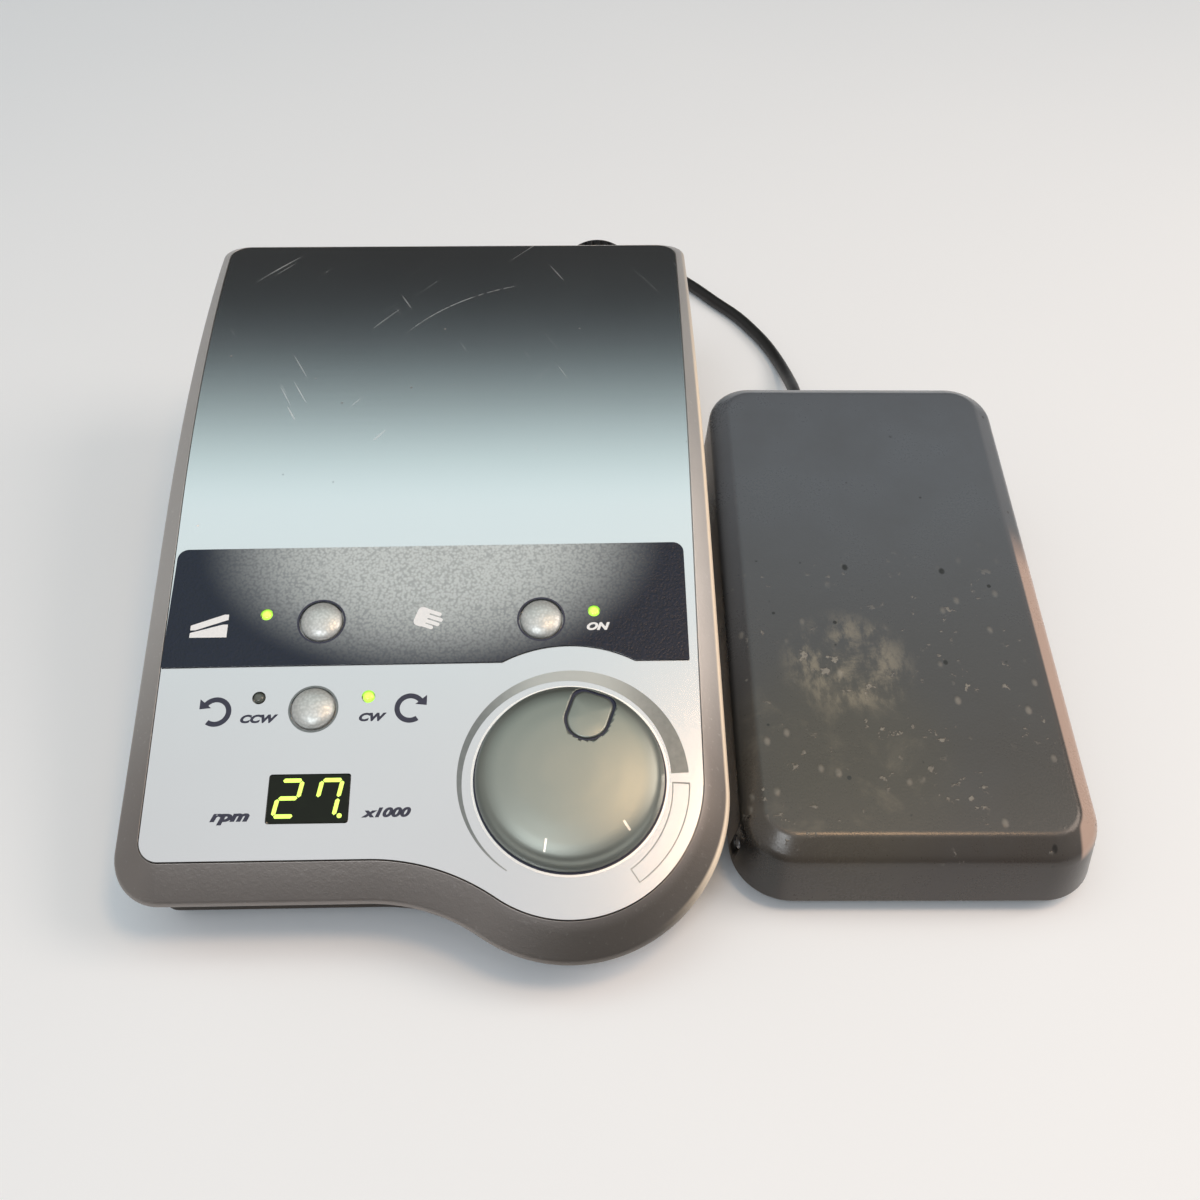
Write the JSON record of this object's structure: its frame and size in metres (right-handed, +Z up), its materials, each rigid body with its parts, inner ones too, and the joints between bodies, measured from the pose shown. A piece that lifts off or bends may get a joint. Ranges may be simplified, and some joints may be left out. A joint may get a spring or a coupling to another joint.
{
  "type": "dental lab micromotor",
  "caption": "Wedge-shaped bench control box for a dental laboratory micromotor, with a speed knob, push buttons, digital display and a hinged, sprung foot pedal joined by a cord.",
  "frame": {"origin": "middle of the footprint at table height, cord left out", "axes": "+X to the operator's right, across the box and the pedal; +Y to the back; +Z up"},
  "size_m": [0.2596, 0.3567, 0.0796],
  "materials": {
    "aluminium": "plain",
    "board_green": "epoxy board with solder mask",
    "button_silver": "metallised satin",
    "copper": "enamelled copper winding",
    "knob_silver": "metallised, radially brushed",
    "label_navy": "pebbled printed film",
    "led_dark": "diffused lens, unlit",
    "led_green": "diffused lens, lit",
    "panel_silver": "satin lacquer, printed",
    "pedal_dark": "moulded",
    "pedal_grey": "semi-gloss moulded",
    "plastic_black": "moulded",
    "rubber_black": "matt",
    "shell_grey": "fine satin texture",
    "sleeve_blue": "shrink sleeve",
    "steel": "plain",
    "window_dark": "smoked, polished"
  },
  "bodies": {
    "control_and_base": {"base_tray": "plastic_black", "control_board": "board_green", "cord_coil": "rubber_black", "cord_lead": "rubber_black", "cord_plug": "plastic_black", "cord_run": "rubber_black", "display_module": "plastic_black", "display_window": "window_dark", "filter_capacitor_1": "sleeve_blue", "filter_capacitor_2": "sleeve_blue", "foot_front_left": "rubber_black", "foot_front_right": "rubber_black", "foot_rear_left": "rubber_black", "foot_rear_right": "rubber_black", "fuse_cap": "plastic_black", "fuse_holder": "plastic_black", "handpiece_socket": "plastic_black", "heat_sink": "aluminium", "label_plate": "label_navy", "led_forward": "led_green", "led_hand_foot": "led_green", "led_motor": "led_green", "led_reverse": "led_dark", "main_board": "board_green", "mains_inlet": "plastic_black", "pedal_base": "pedal_dark", "pedal_grip_front": "rubber_black", "pedal_grip_rear": "rubber_black", "pedal_hinge_pin": "steel", "pedal_jack": "steel", "pedal_sensor_board": "board_green", "pedal_spring_left": "steel", "pedal_spring_right": "steel", "pedal_stop_buffer": "rubber_black", "pedal_strain_relief": "rubber_black", "potentiometer": "steel", "potentiometer_nut": "steel", "power_switch_frame": "plastic_black", "power_transistor": "plastic_black", "rear_panel": "aluminium", "switch_direction": "plastic_black", "switch_hand_foot": "plastic_black", "switch_motor": "plastic_black", "top_panel": "panel_silver", "transformer_core": "steel", "transformer_winding": "copper", "upper_housing": "shell_grey"},
    "knob": {"speed_knob": "knob_silver", "knob_indicator": "knob_silver", "potentiometer_shaft": "steel"},
    "hand_foot_button": {"button_hand_foot": "button_silver"},
    "motor_button": {"button_motor": "button_silver"},
    "direction_button": {"button_direction": "button_silver"},
    "rocker": {"power_switch_rocker": "plastic_black"},
    "pedal_plate": {"pedal_cover": "pedal_grey", "pedal_magnet_arm": "plastic_black"}
  },
  "joints": [
    {"name": "knob_turn", "type": "hinge", "parent": "control_and_base", "child": "knob", "pos_m": [-0.01393, -0.08207, 0.03419], "axis": [0, -0.3173, 0.9483], "range_deg": [-116, 154]},
    {"name": "hand_foot_press", "type": "slide", "parent": "control_and_base", "child": "hand_foot_button", "axis": [0, 0.3173, -0.9483], "range_m": [0, 0.0008], "stiffness_N_per_m": 900, "springref_m": -0.0006},
    {"name": "motor_press", "type": "slide", "parent": "control_and_base", "child": "motor_button", "axis": [0, 0.3173, -0.9483], "range_m": [0, 0.0008], "stiffness_N_per_m": 900, "springref_m": -0.0006},
    {"name": "direction_press", "type": "slide", "parent": "control_and_base", "child": "direction_button", "axis": [0, 0.3173, -0.9483], "range_m": [0, 0.0008], "stiffness_N_per_m": 900, "springref_m": -0.0006},
    {"name": "power_rock", "type": "hinge", "parent": "control_and_base", "child": "rocker", "pos_m": [-0.09383, 0.11174, 0.058], "axis": [-1, 0, 0], "range_deg": [0, 22]},
    {"name": "pedal_press", "type": "hinge", "parent": "control_and_base", "child": "pedal_plate", "pos_m": [0.07809, -0.08956, 0.0135], "axis": [-0.9998, 0.0175, 0], "range_deg": [0, 4.5], "stiffness_Nm_per_rad": 14, "springref_deg": -5.73, "deforming": ["pedal_spring_left", "pedal_spring_right"]}
  ]
}
